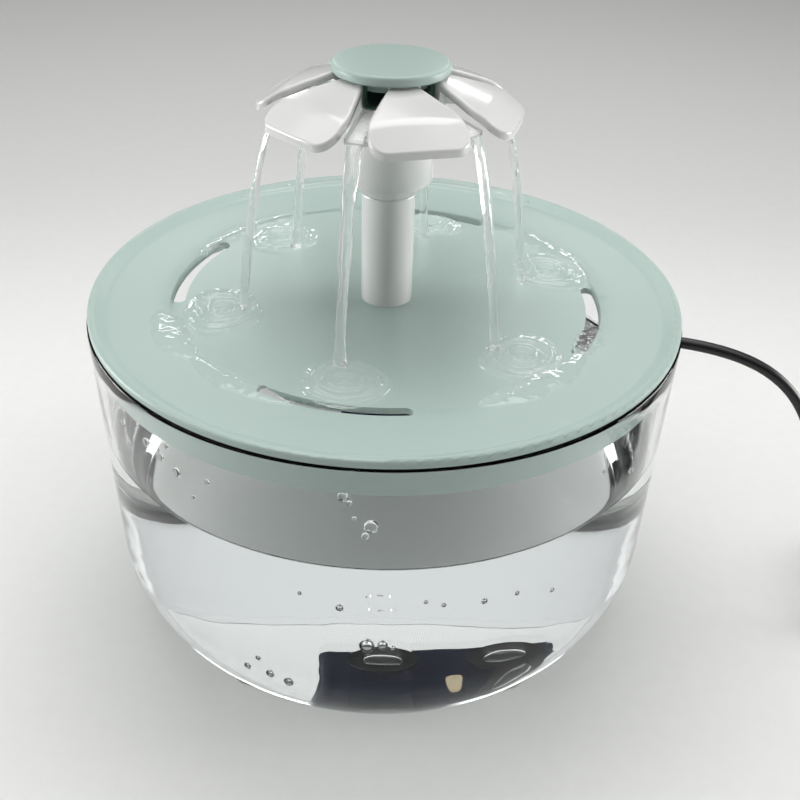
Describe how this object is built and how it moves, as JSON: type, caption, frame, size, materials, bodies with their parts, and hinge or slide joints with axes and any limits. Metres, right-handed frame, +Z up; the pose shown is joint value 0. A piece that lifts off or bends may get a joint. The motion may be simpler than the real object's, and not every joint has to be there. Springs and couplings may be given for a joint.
{
  "type": "pet water fountain",
  "caption": "Round clear bowl with a sage drinking tray for a lid, a riser tube with a white flower fountain head, a small submersible pump and its USB lead.",
  "frame": {"origin": "on the surface it stands on, under the middle of the bowl", "axes": "+Z up through the riser tube, -Y the front, +X the side on which the cord leaves"},
  "size_m": [0.3316, 0.186, 0.1808],
  "materials": {
    "clear_plastic": "clear, glossy",
    "foot_rubber": "matte",
    "sage_plastic": "satin",
    "white_plastic": "glossy",
    "deep_green_plastic": "satin",
    "pump_plastic": "fine moulded",
    "sponge": "open-cell foam",
    "impeller_plastic": "moulded",
    "ferrite": "ground",
    "shaft_steel": "ground",
    "bush_rubber": "matte",
    "stator_steel": "laminated",
    "winding_copper": "enamelled wire",
    "board": "solder mask",
    "amber_lens": "clear, lit",
    "seal_rubber": "matte",
    "cup_rubber": "matte",
    "cord_sheath": "satin",
    "tie_plastic": "matte",
    "plug_plastic": "satin",
    "plug_steel": "plated",
    "plug_insert_plastic": "moulded"
  },
  "bodies": {
    "bowl": {"bowl": "clear_plastic", "bowl_feet": "foot_rubber", "power_cord": "cord_sheath", "cord_coil": "cord_sheath", "cord_tie": "tie_plastic", "plug_lead": "cord_sheath", "plug_boot": "cord_sheath", "plug_body": "plug_plastic", "plug_shell": "plug_steel", "plug_insert": "plug_insert_plastic"},
    "tray": {"tray": "sage_plastic", "pump_housing": "pump_plastic", "pump_base": "pump_plastic", "volute_plate": "pump_plastic", "rotor_shaft": "shaft_steel", "front_bush": "bush_rubber", "rear_bush": "bush_rubber", "stator_core": "stator_steel", "stator_windings": "winding_copper", "driver_board": "board", "led_lens": "amber_lens", "outlet_nozzle": "pump_plastic", "outlet_seal": "seal_rubber", "suction_cups": "cup_rubber", "lead_gland": "bush_rubber", "pump_lead": "cord_sheath"},
    "riser": {"riser_tube": "white_plastic"},
    "flower": {"flower_head": "white_plastic", "flower_core": "deep_green_plastic"},
    "cap": {"flower_cap": "sage_plastic"},
    "rotor": {"impeller": "impeller_plastic", "rotor_magnet": "ferrite"},
    "cover": {"pump_cover": "pump_plastic", "intake_sponge": "sponge"}
  },
  "joints": [
    {"name": "tray_lift", "type": "slide", "parent": "bowl", "child": "tray", "axis": [0, 0, 1], "range_m": [0, 0.12]},
    {"name": "riser_lift", "type": "slide", "parent": "tray", "child": "riser", "axis": [0, 0, 1], "range_m": [0, 0.075]},
    {"name": "flower_turn", "type": "hinge", "parent": "riser", "child": "flower", "pos_m": [0, 0, 0.15], "axis": [0, 0, 1], "continuous": true},
    {"name": "cap_pull", "type": "slide", "parent": "flower", "child": "cap", "axis": [0, 0, 1], "range_m": [0, 0.02]},
    {"name": "impeller_spin", "type": "hinge", "parent": "tray", "child": "rotor", "pos_m": [0, 0, 0.05], "axis": [1, 0, 0], "continuous": true},
    {"name": "pump_cover_slide", "type": "slide", "parent": "tray", "child": "cover", "axis": [-1, 0, 0], "range_m": [0, 0.016]}
  ]
}
